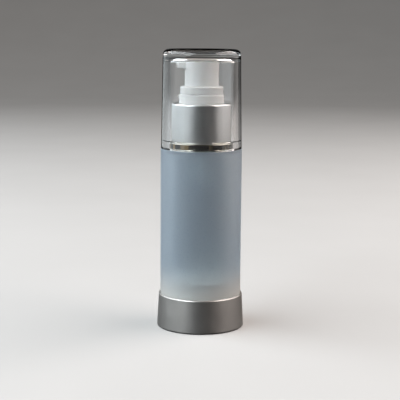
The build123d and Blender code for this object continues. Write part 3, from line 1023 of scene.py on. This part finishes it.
# %% The clear cap
cap_low, cap_high = bottom("overcap"), top("overcap")
cap_foot, cap_shoulder = reach("overcap"), 15.7
grip, grip_height, grip_step = ring_radius + gap, 3.0, 0.4
cap_bore, cap_bore_top, inner_top = 13.15, 12.95, cap_high - 3.2
cap = lathe(
    "overcap_clear",
    [
        (0, inner_top, 0),
        (cap_bore_top, inner_top, 2.1),
        (cap_bore, cap_low + grip_height + grip_step, 0.3),
        (grip, cap_low + grip_height, 0.3),
        (grip, cap_low, 0.12),
        (cap_foot, cap_low, 0.12),
        (cap_shoulder, cap_high, 2.4),
        (0, cap_high, 0),
    ],
    closed=False,
    columns=256,
    steps=14,
)
stands_for(cap, "overcap", "overcap", cap_material)

# %% [markdown]
# ## Inside the pump
#
# The engine shows only when the closure is unscrewed, but it has to be right then. The housing, the
# gasket, the piston and the ball are turned pieces. The stem, the rod and the ball's retainer have
# cross holes and slots, which the engineering model already holds, so they only get their materials.
# The housing hangs from a flange on the neck. Its barrel gets narrower at the spring's ledge, and below
# that is a chamber with a cone at its bottom, which is the ball's seat.

# %% The housing
flange_low, flange_thickness, flange_radius = neck_top + 0.8, 1.2, 9.6
housing_low, housing_top, housing_neck = bottom("pump_housing"), top("pump_housing"), 7.85
barrel, barrel_bore, ledge = 5.6, 4.4, 67.0
cone_top, cone_low = ledge - 0.2, ledge - 2.2
chamber, chamber_bore, inlet, seat_at = 3.6, 2.2, 1.0, 62.8
housing = lathe(
    "pump_barrel",
    [
        (barrel_bore, ledge, 0.1),
        (chamber_bore, ledge, 0.1),
        (chamber_bore, seat_at + chamber_bore - inlet, 0.1),
        (inlet, seat_at, 0.1),
        (inlet, housing_low, 0.2),
        (chamber, housing_low, 0.3),
        (chamber, cone_low, 0.5),
        (barrel, cone_top, 0.5),
        (barrel, flange_low, 0.4),
        (flange_radius, flange_low, 0.15),
        (flange_radius, flange_low + flange_thickness, 0.15),
        (housing_neck, flange_low + flange_thickness, 0.1),
        (housing_neck, housing_top, 0.15),
        (barrel_bore, housing_top, 0.12),
    ],
    columns=128,
)
stands_for(housing, "pump_housing", "closure", natural_plastic)

# %% The gasket
washer = lathe(
    "neck_washer",
    [
        (neck_bore + 0.1, bottom("neck_gasket"), 0.1),
        (flange_radius, bottom("neck_gasket"), 0.1),
        (flange_radius, top("neck_gasket"), 0.1),
        (neck_bore + 0.1, top("neck_gasket"), 0.1),
    ],
    columns=128,
)
stands_for(washer, "neck_gasket", "gasket", liner_foam)

# %% [markdown]
# The piston is an H in section: a short sleeve that slides on the stem, and an outer skirt that ends in
# a lip above and a lip below. Between the lips the skirt is waisted, so that only the lips rub.

# %% The piston
slide, slide_wall, lip, waist, skirt_inside = 2.05, 0.85, 4.37, 4.17, 3.8
slide_low, slide_top, web_low, web_top = bottom("pump_piston"), 84.0, 81.5, 82.6
lip_low, lip_top, land, flare = 79.9, top("pump_piston"), 0.8, 0.5
lips = lathe(
    "piston_lips",
    [
        (slide, slide_low, 0.1),
        (slide + slide_wall, slide_low, 0.1),
        (slide + slide_wall, web_low, 0.15),
        (skirt_inside, web_low, 0.15),
        (skirt_inside, lip_low, 0.1),
        (lip, lip_low, 0.06),
        (lip, lip_low + land, 0.06),
        (waist, lip_low + land + flare, 0.15),
        (waist, lip_top - land - flare, 0.15),
        (lip, lip_top - land, 0.06),
        (lip, lip_top, 0.06),
        (skirt_inside, lip_top, 0.1),
        (skirt_inside, web_top, 0.15),
        (slide + slide_wall, web_top, 0.15),
        (slide + slide_wall, slide_top, 0.1),
        (slide, slide_top, 0.1),
    ],
    columns=96,
)
stands_for(lips, "pump_piston", "pump_piston", soft_plastic)

# %% The ball, and the pieces that keep their shape
latitude = np.linspace(-math.pi / 2, math.pi / 2, 49)[:, None]
ball_radius = (top("inlet_ball") - bottom("inlet_ball")) / 2
ball = turned(
    "valve_ball",
    ball_radius * MM * np.cos(latitude),
    (bottom("inlet_ball") + ball_radius * (1 + np.sin(latitude))) * MM,
    even_angles(64),
    closed=False,
)
stands_for(ball, "inlet_ball", "inlet_valve", steel_material)
keeps_shape("stem", white_plastic)
keeps_shape("piston_seat", white_plastic)
keeps_shape("ball_retainer", natural_plastic)

# %% [markdown]
# ## The spring
#
# The spring is drawn wire on a helix with its last turn at each end wound close, so that it stands
# square. It is a tube carried along that helix: at each step the circle of the wire lies across the
# direction of travel. When the head is pressed the spring gets shorter.

# %% The spring
wire_radius, turns, stations, around = 0.3, 6.0, 420, 12
spring_low, spring_high = bottom("pump_spring"), top("pump_spring")
spring_mean = reach("pump_spring") - wire_radius
t = np.linspace(0, 1, stations)
close_turn = 0.95 * 2 * wire_radius
rise = spring_high - spring_low - 2 * wire_radius
climb = np.interp(t * turns, [0, 1, turns - 1, turns], [0, close_turn, rise - close_turn, rise])
spring_angle = 2 * math.pi * turns * t
outwards = np.stack([np.cos(spring_angle), np.sin(spring_angle), np.zeros_like(t)], -1)
centre = spring_mean * outwards
centre[:, 2] = spring_low + wire_radius + climb
tangent = np.gradient(centre, axis=0)
tangent /= np.linalg.norm(tangent, axis=1, keepdims=True)
across = np.cross(tangent, outwards)
wire_turn = even_angles(around)[None, :, None]
ring = np.cos(wire_turn) * outwards[:, None] + np.sin(wire_turn) * across[:, None]
spring = capped_tube("return_spring", (centre[:, None] + wire_radius * ring) * MM)
stands_for(spring, "pump_spring", "closure", steel_material)
stroke = next(j for j in frame["joints"] if j["name"] == "pump_stroke")["range_m"][1]
spring_length = (spring_high - spring_low) * MM
1 - stroke / spring_length
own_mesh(spring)

# %% [markdown]
# ## The table and the backdrop
#
# The bottle stands on plain pale paper that curves up far behind it, all the way round, so that no
# horizon cuts through the view from any side. It is one more turned surface: flat, then an arc, then
# upright. The paper has a very fine tooth and hardly any gloss, so it only takes a soft shadow.
#
# Metal and frost pass on the room, and among white paper alone they would go pale and flat. In a studio
# one would put black screens just outside the view. Here the paper itself stands in for them: the eye
# sees it pale, and a path that a metal has turned, or that frost or a matt surface has spread out,
# meets a dark table. It also glows faintly, which lifts the shadows on it for the eye.
# These tricks are on the paper and on the cards further down, which are staging, and on no piece.


# %% Telling paths apart
def mirrored(finish, one_wall):
    """How often mirror surfaces have turned a path, which Light Path counts: 0 for the eye. Where a
    path has been through two clear surfaces, as when it goes in and out of one wall with a turn inside
    it, each turn counts as one_wall. Such paths are what one sees in the cap's edges."""
    turns = finish.node("ShaderNodeLightPath", output="Glossy Depth")
    surfaces = finish.node("ShaderNodeLightPath", output="Transmission Depth")
    in_one_wall = finish.node("ShaderNodeMath", {"operation": "COMPARE"}, {0: surfaces, 1: 2.0, 2: 0.5})
    return turns * (1 - (1 - one_wall) * in_one_wall)


def scattered(finish, matt_share=0.9, frost_share=0.95):
    """Above 0 for every path that a matt surface or the frost has spread out, and 0 for one that went
    straight through clear plastic."""
    matt = finish.node("ShaderNodeLightPath", output="Diffuse Depth")
    through = finish.node("ShaderNodeLightPath", output="Is Transmission Ray")
    straight = finish.node("ShaderNodeLightPath", output="Is Singular Ray")
    return matt * matt_share + through * (1 - straight) * frost_share


# %% The paper
def paper_material():
    """Pale matt paper for the eye, and a dark table for paths that are mirrored or scattered."""
    paper = Finish("pale_paper", {"IOR": 1.45, "Emission Strength": 0.13})
    tooth = paper.noise(0.0006, detail=3.0)
    clouds = paper.noise(0.08, detail=2.0)
    shade = 0.8 * clouds + 0.2 * tooth
    tone = paper.colour(shade, grey(0.40, 0.004), grey(0.44, 0.002))
    paper.set("Base Color", tone)
    paper.set("Emission Color", tone)
    paper.set("Roughness", 0.8 + 0.1 * tooth)
    paper.bump(tooth, 0.00002)
    dark_table = paper.node("ShaderNodeBsdfDiffuse", inputs={"Color": grey(0.003)})
    paper.lay_over(dark_table, mirrored(paper, one_wall=0.45) + scattered(paper))
    paper.material.cycles.emission_sampling = "NONE"
    return paper.material


# %% The sweep
flat_reach, sweep_rounding, sweep_height = 1400.0, 1500.0, 2400.0
wall_at = flat_reach + sweep_rounding
sweep_outline = section(
    [(0, 0, 0), (wall_at, 0, sweep_rounding), (wall_at, sweep_height, 0)], closed=False, steps=24
)[1:]
sweep_turn = even_angles(96)
sweep_radius, sweep_z = sweep_outline[:, :1], sweep_outline[:, 1:]
sweep_x = sweep_radius * np.cos(sweep_turn)
sweep_y = sweep_radius * np.sin(sweep_turn)
sweep_points = np.stack([sweep_x, sweep_y, np.broadcast_to(sweep_z, sweep_x.shape)], -1)
numbers = np.arange(sweep_x.size).reshape(sweep_x.shape)
sweep_faces = between(numbers[1:], numbers[:-1]).reshape(-1, 4).tolist() + [numbers[0].tolist()]
paper = add_object("paper_sweep", sweep_points.reshape(-1, 3), sweep_faces, paper_material())
print("the paper is flat for", flat_reach * MM, "m round the bottle")

# %% [markdown]
# ## Light
#
# Metal and clear plastic have hardly any colour of their own: they show the room. So the room is what
# is designed here. A large soft light on each side shapes the bottle, the left one a little cool and
# the right one a little warm. A weak third one overhead lights the cap's top and the head, and the world
# adds a dim warm glow from all round.


# %% Lights
def soft_light(name, azimuth, elevation, distance, size, power, colour):
    """A rectangular light of size (width, height) in metres that faces the bottle, of power watts.
    Azimuth is measured from the front (-Y) towards +X, and elevation from the table, in degrees."""
    lamp = bpy.data.lights.new(name, "AREA")
    lamp.shape = "RECTANGLE"
    lamp.size, lamp.size_y = size
    lamp.energy = power
    lamp.color = colour
    made = bpy.data.objects.new(name, lamp)
    turn, tip = math.radians(azimuth), math.radians(elevation)
    away = Matrix.Rotation(turn, 4, "Z") @ Matrix.Rotation(math.pi / 2 - tip, 4, "X")
    made.matrix_world = Matrix.Translation((0, 0, 0.06)) @ away @ Matrix.Translation((0, 0, distance))
    made.visible_camera = False
    bpy.context.scene.collection.objects.link(made)


soft_light("left_light", -76, 32, 0.9, (1.7, 0.85), 23.0, (0.91, 0.97, 1.0))
soft_light("right_light", 92, 32, 0.9, (1.3, 0.85), 15.0, (1.0, 0.91, 0.86))
soft_light("top_light", 180, 75, 0.9, (1.6, 1.2), 2.0, (1.0, 0.97, 0.94))

world = bpy.data.worlds.new("studio")
bpy.context.scene.world = world
world.use_nodes = True
background = world.node_tree.nodes["Background"]
background.inputs["Color"].default_value = (1.0, 0.84, 0.69, 1)
background.inputs["Strength"].default_value = 0.17
bpy.context.scene.view_settings.view_transform = "Standard"

# %% [markdown]
# ## Cards for the reflections
#
# In a product studio, cards also stand round a shiny piece, for it to mirror. Nine low olive ones
# give the bright ring its upright stripes, and two tall pale ones give the sleeve its bright flanks.
# Lamps could do this, but they would light everything else too. So these cards glow only for paths that
# a mirror surface has turned. They cast no shadow, and the eye doesn't see them.


# %% Cards that only reflections meet
def card(name, azimuth, width, low, high, colour, glow, distance=0.45):
    """A glowing card bent round the bottle from low to high, in metres, at an azimuth (degrees from the
    front towards +X) and width degrees wide. Its foot and its top edge are two arcs of points."""
    paint = Finish(name, {}, "ShaderNodeBsdfTransparent")
    light = paint.node("ShaderNodeEmission", inputs={"Color": colour, "Strength": glow})
    paint.lay_over(light, mirrored(paint, one_wall=0.0))
    paint.material.cycles.emission_sampling = "NONE"
    parts = 12
    around = np.radians(np.linspace(azimuth - width / 2, azimuth + width / 2, parts + 1))
    arc = np.stack([distance * np.sin(around), -distance * np.cos(around)], 1)
    points = np.concatenate([np.insert(arc, 2, level, 1) for level in (low, high)])
    foot = np.arange(parts)
    edge = foot + parts + 1
    faces = np.stack([foot, foot + 1, edge + 1, edge], 1).tolist()
    made = add_object(name, points, faces, paint.material, smooth=False)
    made.visible_camera = False
    made.visible_diffuse = False
    made.visible_shadow = False


# %% The cards
olive, low_card, tall_card = (0.16, 0.125, 0.075, 1), (0.0, 0.026), (0.032, 0.26)
stripes = [
    # azimuth, width, glow
    (-57, 30, 1.5),
    (-98, 9, 2.0),
    (-118, 7, 1.8),
    (-140, 22, 2.0),
    (28, 4, 0.8),
    (35, 2, 0.7),
    (84, 4, 0.8),
    (98, 2, 1.2),
    (134, 5, 3.0),
]
for count, (azimuth, width, glow) in enumerate(stripes):
    card(f"card_{count}", azimuth, width, *low_card, olive, glow)
card("card_cool", -100, 104, *tall_card, (0.88, 0.97, 1.0, 1), 1.05)
card("card_warm", 95, 70, *tall_card, (1.0, 0.94, 0.90, 1), 0.8)
print(len(stripes), "low cards and two tall ones")

# %% [markdown]
# ## The camera
#
# The camera looks down on the bottle by about nine degrees, from a bit under half a metre away, through
# a long lens. So the bottle's circles look like shallow ellipses, and its sides stay nearly parallel.
# It is tilted sideways by under half a degree, as a camera held by hand is.

# %% The camera
aside, distance, height = -0.000377, 0.46329, 0.12209
pitch, tilt = math.radians(8.592), math.radians(0.404)
lens_data = bpy.data.cameras.new("camera")
lens_data.sensor_width = 36.0
lens_data.lens = 103.0
lens_data.clip_start, lens_data.clip_end = 0.01, 20.0
camera = bpy.data.objects.new("camera", lens_data)
aim = Matrix.Rotation(math.pi / 2 - pitch, 4, "X") @ Matrix.Rotation(tilt, 4, "Z")
camera.matrix_world = Matrix.Translation((aside, -distance, height)) @ aim
bpy.context.scene.collection.objects.link(camera)
bpy.context.scene.camera = camera
print("the camera is", round(math.hypot(distance, height), 3), "m from the foot of the bottle")
